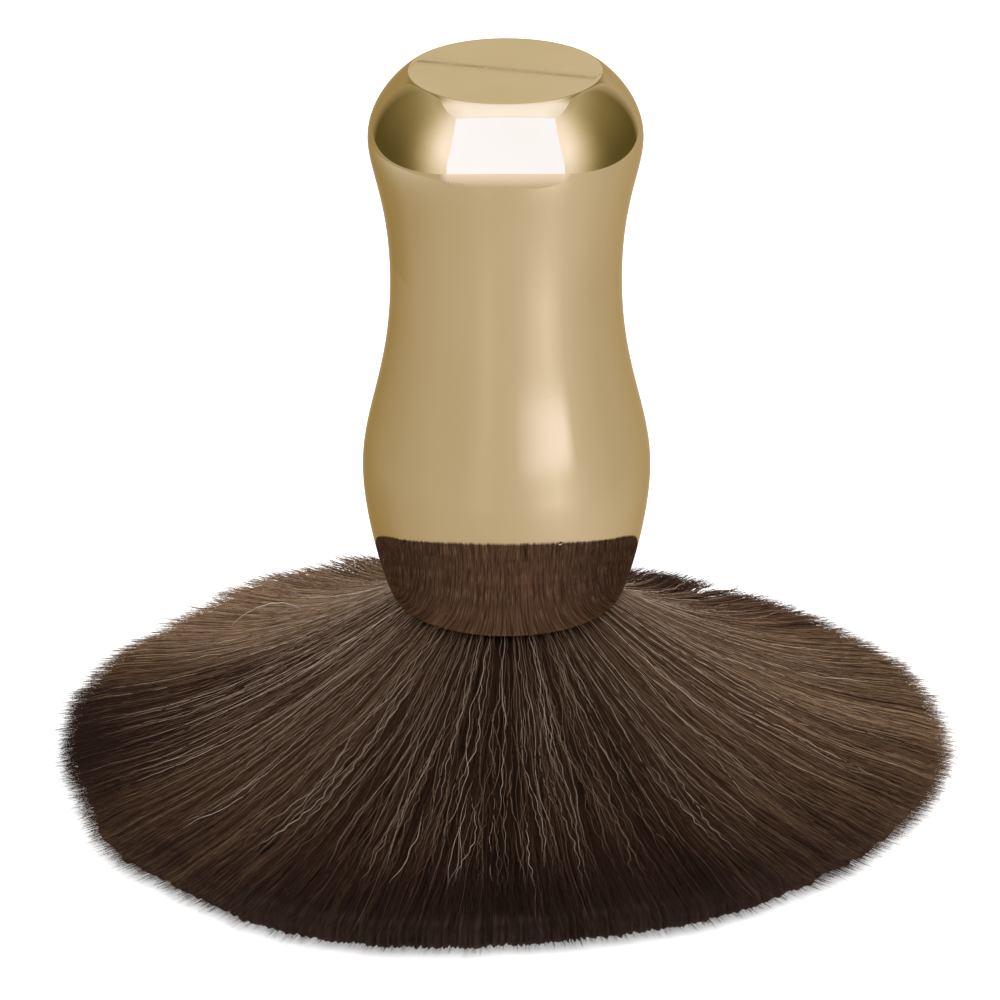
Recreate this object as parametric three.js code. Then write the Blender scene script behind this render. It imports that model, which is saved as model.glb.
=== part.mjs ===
// Neck duster brush, standing on its own bristles with the handle upright.
// Units are millimetres. +Z runs up the axis of the handle, and z = 0 is the surface the brush stands on.
//
// A polished hourglass shell holds a steel counterweight, a moulded core insert and a ferrule.
// The roots of the bristles are bound, set in epoxy and held in the ferrule.
// Below the mouth the weight of the handle presses the bristles out into a round fan,
// which is divided here into a core under the handle and a ring of equal radial locks.

import * as THREE from "three";

// --- Driving dimensions ------------------------------------------------------------------------

const TOTAL_HEIGHT = 124.3; // standing height, from the surface to the end flat
const GAP = 0.3; // clearance between neighbouring pieces

// The handle's outline is four cubic arcs. They meet where the radius is largest or smallest, and
// "bend" is the outline's own radius of curvature there, shared by both arcs.
const MOUTH = { r: 18.7, z: 30.6, pullOut: 1.5, pullUp: 1.2 };
const BELLY = { r: 24.15, z: 54.4, bend: 31 };
const WAIST = { r: 19.3, z: 87.9, bend: 84 };
const SHOULDER = { r: 22.8, z: 112.8, bend: 10.8 };
const END_FLAT = { r: 16, pullOut: 0.5 };
const SHELL_WALL = 1.5;

const FERRULE = { r: 16.6, wall: 0.5, bottom: 32.5, top: 60 };
const ROOT_TOP = 46.7; // where the bare fibres end and the epoxy begins
const BINDING = { bottom: 40.3, top: 42.7, depth: 0.7 };
const LOCATING_RING = { r: 21.9, bottom: 49, top: 59, chamfer: 1 };
const INSERT = { r: 17.4, top: 108, webBottom: 100, webTop: 103, socketR: 14.7 };
const WEIGHT = { r: 14.4, top: 118.3, chamfer: 1 };
const PAD_R = 13;

const FAN_R = 76; // radius of the splayed bristles
const FAN_EDGE = 5.5; // thickness of the fan near its rim
const FAN_SAG = 1.7; // how hollow the fan's upper surface is: 1 would be a plain cone
const FAN_TOP_R = 18.2; // radius of the bristles as they leave the mouth
const CORE_TOP_R = 12;
const CORE_FOOT_R = 20;
const LOCK_COUNT = 16;

// --- Resolution --------------------------------------------------------------------------------

const SIDES = 48; // sides of every round piece
const LOCK_STEPS = SIDES / LOCK_COUNT; // facets across one lock, so that locks follow the round pieces
const ARC_STEPS = 6; // points along each arc of the handle's outline
const FAN_STEPS = 8; // points along the fan's hollow upper surface

// --- Materials ---------------------------------------------------------------------------------

function material(color, metalness, roughness) {
  return new THREE.MeshStandardMaterial({ color, metalness, roughness });
}

const gold = () => material(0xd9bd84, 1.0, 0.06);
const steel = () => material(0x8f9296, 1.0, 0.35);
const foam = () => material(0x3a3b3d, 0.0, 0.9);
const abs = () => material(0x1f2022, 0.0, 0.55);
const aluminium = () => material(0xc9cbce, 1.0, 0.3);
const epoxy = () => material(0xc99a4a, 0.0, 0.25);
const thread = () => material(0xd8d2c4, 0.0, 0.8);
const bristle = () => material(0x45301f, 0.0, 0.7);

// --- Helpers -----------------------------------------------------------------------------------

const point = (r, z) => new THREE.Vector2(r, z);

// A solid of revolution about Z. The outline is a list of [radius, height] points.
function turned(outline) {
  const points = outline.map(([r, z]) => point(r, z));
  return new THREE.LatheGeometry(points, SIDES).rotateX(Math.PI / 2);
}

// A tube about Z, or a solid cylinder where the inner radius is left out.
function ring(outerR, bottom, top, innerR = 0) {
  const outline = [[innerR, bottom], [outerR, bottom], [outerR, top], [innerR, top]];
  if (innerR > 0) outline.push([innerR, bottom]);
  return turned(outline);
}

function piece(name, geometry, look) {
  const mesh = new THREE.Mesh(geometry, look);
  mesh.name = name;
  return mesh;
}

// --- Handle ------------------------------------------------------------------------------------

// How far a cubic arc's control point lies from an upright end, for the arc to bend as the end says.
// The spread is how far the arc's other control point lies from that end, square to the axis.
const pull = (end, spread) => Math.sqrt((2 / 3) * Math.abs(spread) * end.bend);

// The outside of the handle from the mouth up to the edge of the end flat.
// The first arc leaves the mouth leaning outwards, and the last arrives level at the end flat.
function handleArcs() {
  const mouthLean = point(MOUTH.r + MOUTH.pullOut, MOUTH.z + MOUTH.pullUp);
  const endLean = point(END_FLAT.r + END_FLAT.pullOut, TOTAL_HEIGHT);
  const upright = (end, spread) => point(end.r, end.z + Math.sign(spread) * pull(end, spread));
  const curve = (...points) => new THREE.CubicBezierCurve(...points);
  const swell = BELLY.r - mouthLean.x;
  const taper = BELLY.r - WAIST.r;
  const flare = SHOULDER.r - WAIST.r;
  const dome = SHOULDER.r - endLean.x;
  const belly = point(BELLY.r, BELLY.z);
  const waist = point(WAIST.r, WAIST.z);
  const shoulder = point(SHOULDER.r, SHOULDER.z);
  return [
    curve(point(MOUTH.r, MOUTH.z), mouthLean, upright(BELLY, -swell), belly),
    curve(belly, upright(BELLY, taper), upright(WAIST, -taper), waist),
    curve(waist, upright(WAIST, flare), upright(SHOULDER, -flare), shoulder),
    curve(shoulder, upright(SHOULDER, dome), endLean, point(END_FLAT.r, TOTAL_HEIGHT)),
  ];
}

// Points on the outline, moved inwards along its normal.
function handleOutline(inset) {
  const points = [];
  handleArcs().forEach((arc, index) => {
    const first = index === 0 ? 0 : 1; // an arc's first point is the last of the arc before it
    for (let i = first; i <= ARC_STEPS; i++) {
      const at = arc.getPoint(i / ARC_STEPS);
      const along = arc.getTangent(i / ARC_STEPS);
      points.push([at.x - along.y * inset, at.y + along.x * inset]);
    }
  });
  return points;
}

function handleShell() {
  const outside = handleOutline(0);
  const inside = handleOutline(SHELL_WALL);
  inside[0] = [MOUTH.r - SHELL_WALL, MOUTH.z]; // the lip is cut square to the axis
  return turned([
    [0, TOTAL_HEIGHT - SHELL_WALL],
    ...inside.reverse(),
    ...outside,
    [0, TOTAL_HEIGHT],
  ]);
}

function counterweight() {
  const bottom = INSERT.webTop + GAP;
  const { r, top, chamfer } = WEIGHT;
  return turned([
    [0, bottom],
    [r - chamfer, bottom],
    [r, bottom + chamfer],
    [r, top - chamfer],
    [r - chamfer, top],
    [0, top],
  ]);
}

function weightPad() {
  return ring(PAD_R, WEIGHT.top + GAP, TOTAL_HEIGHT - SHELL_WALL - GAP);
}

// An open tube with a web across it. The counterweight stands on the web.
function coreInsert() {
  const bottom = FERRULE.top + GAP;
  const { r, top, webBottom, webTop, socketR } = INSERT;
  return turned([
    [0, webBottom],
    [socketR, webBottom],
    [socketR, bottom],
    [r, bottom],
    [r, top],
    [socketR, top],
    [socketR, webTop],
    [0, webTop],
  ]);
}

function locatingRing() {
  const { r, bottom, top, chamfer } = LOCATING_RING;
  const innerR = FERRULE.r + GAP;
  return turned([
    [innerR, bottom],
    [r - chamfer, bottom],
    [r, bottom + chamfer],
    [r, top - chamfer],
    [r - chamfer, top],
    [innerR, top],
    [innerR, bottom],
  ]);
}

// --- Ferrule and bristle roots -----------------------------------------------------------------

const ROOT_R = FERRULE.r - FERRULE.wall - GAP;

function ferruleSleeve() {
  return ring(FERRULE.r, FERRULE.bottom, FERRULE.top, FERRULE.r - FERRULE.wall);
}

function epoxyPlug() {
  return ring(ROOT_R, ROOT_TOP + GAP, FERRULE.top - GAP);
}

function rootBinding() {
  return ring(ROOT_R, BINDING.bottom, BINDING.top, ROOT_R - BINDING.depth);
}

// The roots have a groove for the binding, and flare a little where they leave the ferrule.
function bristleRoot() {
  const grooveR = ROOT_R - BINDING.depth - GAP;
  return turned([
    [0, MOUTH.z],
    [MOUTH.r - SHELL_WALL - GAP, MOUTH.z],
    [ROOT_R, FERRULE.bottom - GAP],
    [ROOT_R, BINDING.bottom - GAP],
    [grooveR, BINDING.bottom - GAP],
    [grooveR, BINDING.top + GAP],
    [ROOT_R, BINDING.top + GAP],
    [ROOT_R, ROOT_TOP],
    [0, ROOT_TOP],
  ]);
}

// --- Splayed bristles --------------------------------------------------------------------------

const FAN_TOP = MOUTH.z - GAP;

// The core spreads from the mouth to its foot.
function bristleCore() {
  return turned([
    [0, 0],
    [CORE_FOOT_R, 0],
    [CORE_TOP_R, FAN_TOP],
    [0, FAN_TOP],
  ]);
}

// The fan's upper surface falls steeply from the mouth and flattens towards the rim.
function fanHeight(r) {
  const left = (FAN_R - r) / (FAN_R - FAN_TOP_R);
  return FAN_EDGE + (FAN_TOP - FAN_EDGE) * left ** FAN_SAG;
}

// The section of a lock in the plane of the axis, with its tips rounded at the rim.
function lockSection() {
  const section = [
    [CORE_FOOT_R + GAP, 0],
    [FAN_R - 4, 0],
    [FAN_R - 1, 0.9],
    [FAN_R, 2.4],
    [FAN_R - 0.4, 4.2],
  ];
  for (let i = 1; i <= FAN_STEPS; i++) {
    const r = FAN_R + ((FAN_TOP_R - FAN_R) * i) / FAN_STEPS;
    section.push([r, fanHeight(r)]);
  }
  section.push([CORE_TOP_R + GAP, FAN_TOP]);
  return section;
}

// The section swept through one lock's share of the circle, with half a gap left along each side.
function bristleLock(index) {
  const section = lockSection();
  const share = (2 * Math.PI) / LOCK_COUNT;
  const positions = [];
  for (let step = 0; step <= LOCK_STEPS; step++) {
    const side = 1 - (2 * step) / LOCK_STEPS; // 1 on the first side face, -1 on the last
    for (const [r, z] of section) {
      const shy = Math.abs(side) === 1 ? side * Math.asin(GAP / 2 / r) : 0;
      const angle = share * (index - side / 2) + shy;
      positions.push(r * Math.cos(angle), r * Math.sin(angle), z);
    }
  }
  const count = section.length;
  const triangles = [];
  for (let step = 0; step < LOCK_STEPS; step++) {
    for (let i = 0; i < count; i++) {
      const a = step * count + i;
      const b = step * count + ((i + 1) % count);
      triangles.push(a, a + count, b, b, a + count, b + count);
    }
  }
  const caps = THREE.ShapeUtils.triangulateShape(section.map(([r, z]) => point(r, z)), []);
  const last = LOCK_STEPS * count;
  for (const [a, b, c] of caps) triangles.push(a, b, c, last + a, last + c, last + b);
  return new THREE.BufferGeometry()
    .setAttribute("position", new THREE.Float32BufferAttribute(positions, 3))
    .setIndex(triangles);
}

// --- Assembly ----------------------------------------------------------------------------------

const handle = new THREE.Group();
handle.add(
  piece("handle_shell", handleShell(), gold()),
  piece("counterweight", counterweight(), steel()),
  piece("weight_pad", weightPad(), foam()),
  piece("core_insert", coreInsert(), abs()),
  piece("locating_ring", locatingRing(), abs()),
);

const knot = new THREE.Group();
knot.add(
  piece("ferrule_sleeve", ferruleSleeve(), aluminium()),
  piece("epoxy_plug", epoxyPlug(), epoxy()),
  piece("root_binding", rootBinding(), thread()),
  piece("bristle_root", bristleRoot(), bristle()),
);

const fan = new THREE.Group();
fan.add(piece("bristle_core", bristleCore(), bristle()));
for (let i = 0; i < LOCK_COUNT; i++) {
  const number = String(i + 1).padStart(2, "0");
  fan.add(piece(`bristle_lock_${number}`, bristleLock(i), bristle()));
}

const brush = new THREE.Group();
brush.add(handle, knot, fan);

export default brush;
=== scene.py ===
"""Looks of the neck duster brush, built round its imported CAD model. Lengths are in metres, +Z is up.

A polished gold shell replaces the CAD shell on the same outline, and ribbed mats with fibres on them
replace the plain CAD locks. The foam pad and the packed bristles are remade too. The other pieces
inside keep their CAD shapes and get materials of their own.
"""

import math

import bpy
import numpy as np
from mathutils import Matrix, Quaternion, Vector


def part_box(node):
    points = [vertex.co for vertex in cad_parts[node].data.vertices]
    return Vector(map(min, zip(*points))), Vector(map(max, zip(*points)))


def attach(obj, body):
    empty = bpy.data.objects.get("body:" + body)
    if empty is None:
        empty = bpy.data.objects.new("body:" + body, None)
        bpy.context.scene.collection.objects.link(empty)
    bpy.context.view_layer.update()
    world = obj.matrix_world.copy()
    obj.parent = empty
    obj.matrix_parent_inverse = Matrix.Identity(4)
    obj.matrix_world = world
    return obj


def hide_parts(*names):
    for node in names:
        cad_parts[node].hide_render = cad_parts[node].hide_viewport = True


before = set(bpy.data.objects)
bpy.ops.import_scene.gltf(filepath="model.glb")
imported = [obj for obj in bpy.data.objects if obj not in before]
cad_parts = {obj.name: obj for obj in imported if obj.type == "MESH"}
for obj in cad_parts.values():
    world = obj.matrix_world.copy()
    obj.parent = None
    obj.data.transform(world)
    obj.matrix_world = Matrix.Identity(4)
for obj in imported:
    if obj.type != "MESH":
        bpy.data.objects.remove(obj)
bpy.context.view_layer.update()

MM = 0.001
rng = np.random.default_rng(303)

# --- Driving dimensions ---

SHELL_LOW, SHELL_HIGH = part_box("handle_shell")
LOCK_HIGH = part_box("bristle_lock_01")[1]
CORE_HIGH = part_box("bristle_core")[1]
TOP = SHELL_HIGH.z

# The handle's outline, as in the CAD model: four arcs that meet where it is widest or narrowest.
MOUTH = dict(r=18.7 * MM, z=SHELL_LOW.z, pull_out=1.5 * MM, pull_up=1.2 * MM)
BELLY = dict(r=SHELL_HIGH.x, z=54.4 * MM, bend=31 * MM)
WAIST = dict(r=19.3 * MM, z=87.9 * MM, bend=84 * MM)
SHOULDER = dict(r=22.8 * MM, z=112.8 * MM, bend=10.8 * MM)
END_FLAT = dict(r=16 * MM, pull_out=0.5 * MM)
SHELL_WALL = 1.5 * MM

# The splayed bristles. Azimuths are in degrees from +X, counter-clockwise seen from above.
FAN_R = LOCK_HIGH.x
FAN_TOP = LOCK_HIGH.z
FAN_EDGE = 5.5 * MM  # thickness of the fan near its rim
FAN_SAG = 1.7  # how hollow the fan's upper surface is
MOUTH_R = 17.1 * MM  # radius of the outermost fibres inside the mouth
MAT_INSET = 3.1 * MM  # how far the tips stand out past the dense mat under them
MAT_DEPTH = 0.8 * MM  # how far the mat lies under the fibres
TIP_DROOP = 1.3 * MM
LOCK_COUNT = 16
CORE_TOP_R = 12 * MM
NOTCH = dict(azimuth=58.8, half_width=1.5, spread=7, depth=11 * MM)  # the parting at the back right
# It is wider, and a little further round, in the mat and among the fibres that lie low.
NOTCH_IN_MAT = dict(half_width=5, shift=2)
NOTCH_BELOW = dict(half_width=4, shift=3)
BACK_TUFT = dict(azimuth=115, spread=15, lift=2.4 * MM)  # it stands a little higher than the rest
# Where the rim stands out or in: azimuth, spread, millimetres.
REACHES = [
    (-150, 9, 1.4), (-130, 22, 1.8), (-112, 16, 3.4), (-95, 70, 1.0), (-50, 30, -1.7),
    (35, 20, -0.4), (64, 6, 1.6), (112, 16, 2.8), (132, 12, 2.0), (155, 24, 1.7),
]
# Where the fibres are paler or darker than the rest: azimuth, spread, how much. The paler right and
# back are painted light and the darker front is painted shade, as from a light at the back right.
TONE_AND_LIGHT_PATCHES = [(10, 46, 0.4), (130, 28, 0.72), (-88, 34, -0.11), (-145, 20, 0.2), (-174, 14, -0.12)]
FRONT = dict(centre=-90, spread=60)  # where the rim is densest and the pale fibres end early

# --- Small helpers ---


def srgb(red, green, blue):
    """A colour given as 0-255 screen values, as the linear RGBA that sockets take."""
    parts = [c / 255 for c in (red, green, blue)]
    return tuple(c / 12.92 if c <= 0.04045 else ((c + 0.055) / 1.055) ** 2.4 for c in parts) + (1,)


def smooth(low, high, value):
    """0 below low, 1 above high, and a soft step between them."""
    t = np.clip((value - low) / (high - low), 0, 1)
    return t * t * (3 - 2 * t)


def bell(value, centre, spread):
    """1 at the centre, falling off over the spread. Both are angles in degrees."""
    away = (value - centre + 180) % 360 - 180
    return np.exp(-((away / spread) ** 2))


def patches(azimuth, table):
    """The sum of the bells that a table of (azimuth, spread, amount) gives."""
    return sum(amount * bell(azimuth, centre, width) for centre, width, amount in table)


def wave_noise(angles, counts, seed):
    """A repeating noise over azimuth, about -1 to 1, from sines of the given counts per turn."""
    phases = np.random.default_rng(seed).uniform(0, 2 * math.pi, len(counts))
    total = sum(np.sin(np.radians(angles) * n + p) for n, p in zip(counts, phases))
    return total / math.sqrt(len(counts))


def add_object(name, data):
    made = bpy.data.objects.new(name, data)
    bpy.context.scene.collection.objects.link(made)
    return made


def mesh_from(name, points, quads, triangles, uv=None, sharp_angle=None):
    """A smooth mesh from numpy arrays. uv holds one pair for each point."""
    quads = np.asarray(quads, np.int32).reshape(-1, 4)
    triangles = np.asarray(triangles, np.int32).reshape(-1, 3)
    corners = np.concatenate([quads.ravel(), triangles.ravel()])
    starts = np.concatenate([
        np.arange(len(quads)) * 4,
        len(quads) * 4 + np.arange(len(triangles)) * 3,
    ])
    mesh = bpy.data.meshes.new(name)
    mesh.vertices.add(len(points))
    mesh.vertices.foreach_set("co", np.asarray(points, np.float32).ravel())
    mesh.loops.add(len(corners))
    mesh.loops.foreach_set("vertex_index", corners)
    mesh.polygons.add(len(starts))
    mesh.polygons.foreach_set("loop_start", starts.astype(np.int32))
    mesh.polygons.foreach_set("use_smooth", np.ones(len(starts), bool))
    mesh.update(calc_edges=True)
    if uv is not None:
        layer = mesh.uv_layers.new(name="OFBake")
        layer.data.foreach_set("uv", np.asarray(uv, np.float32)[corners].ravel())
    if sharp_angle is not None:
        mesh.set_sharp_from_angle(angle=math.radians(sharp_angle))
    return add_object(name, mesh)


def lathe(name, outline, sides, flute=None, sharp_angle=30):
    """A closed solid of revolution. The outline runs from the axis to the axis, or closes on itself.

    flute(angles, radius, height) may give a change of radius for each angle, for a ribbed surface."""
    outline = np.asarray(outline, float)
    on_axis = outline[0, 0] == 0
    rings = outline[1:-1] if on_axis else outline
    angles = np.linspace(0, 360, sides, endpoint=False)
    cos, sin = np.cos(np.radians(angles)), np.sin(np.radians(angles))
    points = []
    for r, z in rings:
        radius = r + (flute(angles, r, z) if flute else 0)
        points.append(np.column_stack([radius * cos, radius * sin, np.full(sides, z)]))
    points = np.concatenate(points)
    count = len(rings)
    here = np.arange(sides)
    onward = (here + 1) % sides
    quads = []
    for k in range(count - 1 if on_axis else count):
        low, high = k * sides, (k + 1) % count * sides
        quads.append(np.column_stack([low + here, low + onward, high + onward, high + here]))
    triangles = []
    if on_axis:
        first, last = len(points), len(points) + 1
        points = np.vstack([points, [0, 0, outline[0, 1]], [0, 0, outline[-1, 1]]])
        top = (count - 1) * sides
        triangles = np.concatenate([
            np.column_stack([np.full(sides, first), onward, here]),
            np.column_stack([np.full(sides, last), top + here, top + onward]),
        ])
    return mesh_from(name, points, np.concatenate(quads), triangles, sharp_angle=sharp_angle)


def dress(piece, material, slot, *nodes):
    """Gives a piece its material, sets it riding, and hides the CAD nodes that it stands for. The slot is
    not used.
    """
    piece.data.materials.clear()
    piece.data.materials.append(material)
    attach(piece, "root")
    if nodes:
        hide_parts(*nodes)


# --- Material helpers ---


def node(tree, kind, inputs=None, **settings):
    """Adds a shader node. An input given as a socket is linked, and any other value is set."""
    made = tree.nodes.new("ShaderNode" + kind)
    for key, value in settings.items():
        setattr(made, key, value)
    for key, value in (inputs or {}).items():
        if isinstance(value, bpy.types.NodeSocket):
            tree.links.new(value, made.inputs[key])
        else:
            made.inputs[key].default_value = value
    return made


def new_material(name, **sockets):
    material = bpy.data.materials.new(name)
    material.use_nodes = True
    shader = material.node_tree.nodes["Principled BSDF"]
    for key, value in sockets.items():
        shader.inputs[key.replace("_", " ")].default_value = value
    return material, material.node_tree, shader


def place(tree, scale=(1, 1, 1)):
    """Object coordinates, which are the row frame in metres, scaled."""
    where = node(tree, "TexCoord").outputs["Object"]
    return node(tree, "Mapping", {"Vector": where, "Scale": scale}).outputs["Vector"]


def noise(tree, vector, scale, detail=2.0, roughness=0.5):
    inputs = {"Vector": vector, "Scale": scale, "Detail": detail, "Roughness": roughness}
    return node(tree, "TexNoise", inputs).outputs["Fac"]


def cells(tree, scale):
    """The distance from the middle of the nearest of many small cells."""
    return node(tree, "TexVoronoi", {"Vector": place(tree), "Scale": scale}).outputs["Distance"]


def ramp(tree, fac, *stops):
    """A colour ramp. Each stop is (position, colour)."""
    made = node(tree, "ValToRGB", {"Fac": fac})
    elements = made.color_ramp.elements
    while len(elements) < len(stops):
        elements.new(0.5)
    for element, (position, colour) in zip(elements, stops):
        element.position = position
        element.color = colour
    return made.outputs["Color"]


def spread(tree, fac, low, high, start=0.0, end=1.0):
    """Maps a value from start..end to low..high."""
    inputs = {"Value": fac, "From Min": start, "From Max": end, "To Min": low, "To Max": high}
    return node(tree, "MapRange", inputs).outputs["Result"]


def rise(tree, value, start, end):
    """0 at start and 1 at end, whichever of them is the larger."""
    return spread(tree, value, 0.0, 1.0, start, end)


def mix(tree, factor, first, second):
    """Blends two colours, each a socket or an RGBA value."""
    inputs = {"Factor": factor, 6: first, 7: second}  # 6 and 7 are the colour sockets A and B
    return node(tree, "Mix", inputs, data_type="RGBA").outputs[2]


def calc(tree, operation, *values):
    return node(tree, "Math", dict(enumerate(values)), operation=operation).outputs["Value"]


def times(tree, value, *others):
    """The product of values."""
    for other in others:
        value = calc(tree, "MULTIPLY", value, other)
    return value


def feed(shader, value, socket="Base Color"):
    shader.id_data.links.new(value, shader.inputs[socket])


def paint(shader, fac, low, high, start=0.3, end=0.7):
    """Colours a shader from one 0-255 colour at start to another at end."""
    feed(shader, ramp(shader.id_data, fac, (start, srgb(*low)), (end, srgb(*high))))


def bump(shader, height, distance, strength=1.0):
    inputs = {"Height": height, "Distance": distance, "Strength": strength}
    feed(shader, node(shader.id_data, "Bump", inputs).outputs["Normal"], "Normal")


def spot(tree):
    """The X, Y and Z of the place being shaded, in metres in the row frame."""
    return tuple(node(tree, "SeparateXYZ", {"Vector": place(tree)}).outputs)


def turns_round(tree, x, y):
    """The azimuth in turns, counter-clockwise from +X."""
    return calc(tree, "DIVIDE", calc(tree, "ARCTAN2", y, x), 2 * math.pi)


def distance_out(tree, x, y):
    """The distance from the axis."""
    return calc(tree, "SQRT", calc(tree, "ADD", times(tree, x, x), times(tree, y, y)))


# --- Materials ---


def gold_plate():
    """Mirror-polished pale gold, with a faint polishing haze and a few specks."""
    material, tree, shader = new_material("gold_plate", Metallic=1.0, Specular_Tint=(0.8, 0.71, 0.52, 1))
    haze = noise(tree, place(tree, (1, 1, 0.35)), 60, 4)
    paint(shader, haze, (209, 190, 154), (215, 196, 162))
    swirl = noise(tree, place(tree, (1, 1, 9)), 500, 3, 0.6)
    feed(shader, spread(tree, swirl, 0.03, 0.065, 0.35, 0.75), "Roughness")
    bump(shader, rise(tree, cells(tree, 330.0), 0.05, 0.11), 0.000012, 0.35)
    return material


def steel_bar():
    """Turned steel: fine rings round the axis and a grey mill finish."""
    material, tree, shader = new_material("turned_steel", Metallic=1.0)
    x, y, z = spot(tree)
    section = node(tree, "CombineXYZ", {"X": distance_out(tree, x, y), "Y": z}).outputs["Vector"]
    rings = noise(tree, section, 2600)
    paint(shader, rings, (138, 141, 146), (171, 173, 176))
    feed(shader, spread(tree, rings, 0.25, 0.45), "Roughness")
    bump(shader, rings, 0.00003)
    return material


def foam():
    """Dark closed-cell foam."""
    material, tree, shader = new_material("foam", Roughness=0.92)
    pores = cells(tree, 1400.0)
    # Darker in the middle of each cell, where the bump dips: painted shade in the pores.
    paint(shader, pores, (38, 39, 41), (78, 80, 83), 0.0, 0.8)
    bump(shader, pores, 0.00025, 0.8)
    return material


def moulded_plastic():
    """Black moulded plastic with a fine spark-eroded grain and faint flow marks."""
    material, tree, shader = new_material("moulded_plastic")
    grain = noise(tree, place(tree), 3200, 2)
    flow = noise(tree, place(tree, (1, 1, 0.2)), 70, 3)
    paint(shader, flow, (30, 31, 33), (43, 44, 47))
    feed(shader, spread(tree, flow, 0.45, 0.62, 0.3, 0.7), "Roughness")
    bump(shader, grain, 0.00003, 0.7)
    return material


def ferrule_aluminium():
    """Spun aluminium with lines round the axis."""
    material, tree, shader = new_material("spun_aluminium", Metallic=1.0)
    lines = noise(tree, place(tree, (0.02, 0.02, 1)), 5200, 2)
    paint(shader, lines, (188, 190, 193), (222, 223, 225))
    feed(shader, spread(tree, lines, 0.2, 0.42), "Roughness")
    bump(shader, lines, 0.00002)
    return material


def epoxy_resin():
    """Cured amber resin with a few trapped bubbles."""
    material, tree, shader = new_material("epoxy_resin", Transmission_Weight=0.25, IOR=1.53)
    cloud = noise(tree, place(tree), 160, 4)
    bubbles = cells(tree, 700.0)
    paint(shader, cloud, (171, 120, 48), (214, 166, 84))
    feed(shader, spread(tree, bubbles, 0.45, 0.16, 0.0, 0.2), "Roughness")
    bump(shader, rise(tree, bubbles, 0.05, 0.2), 0.00008, 0.7)
    return material


def binding_thread():
    """Waxed thread wound round the roots, three turns a millimetre with a twist in each strand."""
    material, tree, shader = new_material("binding_thread", Roughness=0.75)
    x, y, z = spot(tree)
    strand = calc(tree, "SINE", times(tree, z, 2 * math.pi * 3000))
    along = times(tree, turns_round(tree, x, y), 2 * math.pi * 300)
    twist = calc(tree, "SINE", calc(tree, "ADD", along, times(tree, z, 9000.0)))
    relief = calc(tree, "ADD", strand, times(tree, twist, 0.25))
    # Lighter on the crests and darker in the grooves between the turns: painted light and painted shade
    # that follow the relief.
    shade = rise(tree, relief, -1.2, 1.2)
    paint(shader, shade, (150, 143, 127), (222, 216, 201), 0.1, 0.8)
    bump(shader, relief, 0.00006, 0.8)
    return material


def bristle_mass():
    """Packed fibres seen as one body: streaks that run out from the axis and down it.

    They are paler at the back right, a painted light from that side, and in front they go over to dark
    tips, a painted shade on the front rim."""
    material, tree, shader = new_material("bristle_mass", Roughness=0.7, Specular_IOR_Level=0.15)
    x, y, z = spot(tree)
    turns, out = turns_round(tree, x, y), distance_out(tree, x, y)
    lay = node(tree, "CombineXYZ", {
        "X": times(tree, turns, 600.0),
        "Y": times(tree, out, 90.0),
        "Z": times(tree, z, 60.0),
    }).outputs["Vector"]
    streaks = noise(tree, lay, 1.0, 3, 0.6)
    dark = ramp(tree, streaks, (0.3, srgb(32, 20, 15)), (0.7, srgb(62, 42, 32)))
    pale = ramp(tree, streaks, (0.3, srgb(62, 45, 34)), (0.7, srgb(106, 83, 64)))
    # facing is 1 towards azimuth 70, the back right; the mix from the dark to the pale streaks there is
    # painted light.
    turned = calc(tree, "SUBTRACT", turns, 70 / 360)
    facing = calc(tree, "COSINE", times(tree, turned, 2 * math.pi))
    body = mix(tree, rise(tree, facing, -1.0, 0.6), dark, pale)
    # The dark tips over the outer part of the front are painted shade.
    tips = ramp(tree, streaks, (0.3, srgb(36, 24, 20)), (0.7, srgb(55, 38, 31)))
    outward = times(tree, rise(tree, out, FAN_R - 22 * MM, FAN_R - 6 * MM), rise(tree, facing, 0.2, -0.5))
    feed(shader, mix(tree, outward, body, tips))
    bump(shader, streaks, 0.0003, 0.6)
    return material


def fibre(name, shades, tip_shade, dark_tips, dark_roots, roughness, specular):
    """Fibre whose shade is set by the map's V, from the first shade to the last.

    Along U it is mottled. Near the root it goes over to the first shade, a painted shade by the handle's
    mouth, by the first of dark_roots where V is low and by the second where it is high. Near the tip it
    goes over to tip_shade, fully where V is under the first of dark_tips and not at all where it is over
    the second; on the brown fibres, whose low V lies at the front, this is a painted shade on the front
    rim."""
    material, tree, shader = new_material(name, Roughness=roughness, Specular_IOR_Level=specular)
    chart = node(tree, "UVMap", uv_map="OFBake").outputs["UV"]
    parts = node(tree, "SeparateXYZ", {"Vector": chart}).outputs
    stops = [(k / (len(shades) - 1), srgb(*shade)) for k, shade in enumerate(shades)]
    body = ramp(tree, parts["Y"], *stops)
    grain = node(tree, "Mapping", {"Vector": chart, "Scale": (26, 90, 1)}).outputs["Vector"]
    mottle = spread(tree, noise(tree, grain, 1.0, 2), 0.05, 0.5, 0.35, 0.7)
    body = mix(tree, mottle, body, srgb(*shades[0]))
    # Painted shade by the handle's mouth.
    near_root = spread(tree, parts["X"], 0.6, 0.0, 0.0, 0.5)
    near_root = times(tree, near_root, spread(tree, parts["Y"], *dark_roots, 0.3, 0.8))
    body = mix(tree, near_root, body, srgb(*shades[0]))
    # On the brown fibres this is painted shade on the front rim.
    near_tip = spread(tree, parts["X"], 0.0, 0.85, 0.64, 0.93)
    near_tip = times(tree, near_tip, spread(tree, parts["Y"], 1.0, 0.0, *dark_tips))
    feed(shader, mix(tree, near_tip, body, srgb(*tip_shade)))
    return material


# --- Handle ---

ARC_STEPS = 30
HANDLE_SIDES = 192


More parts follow.
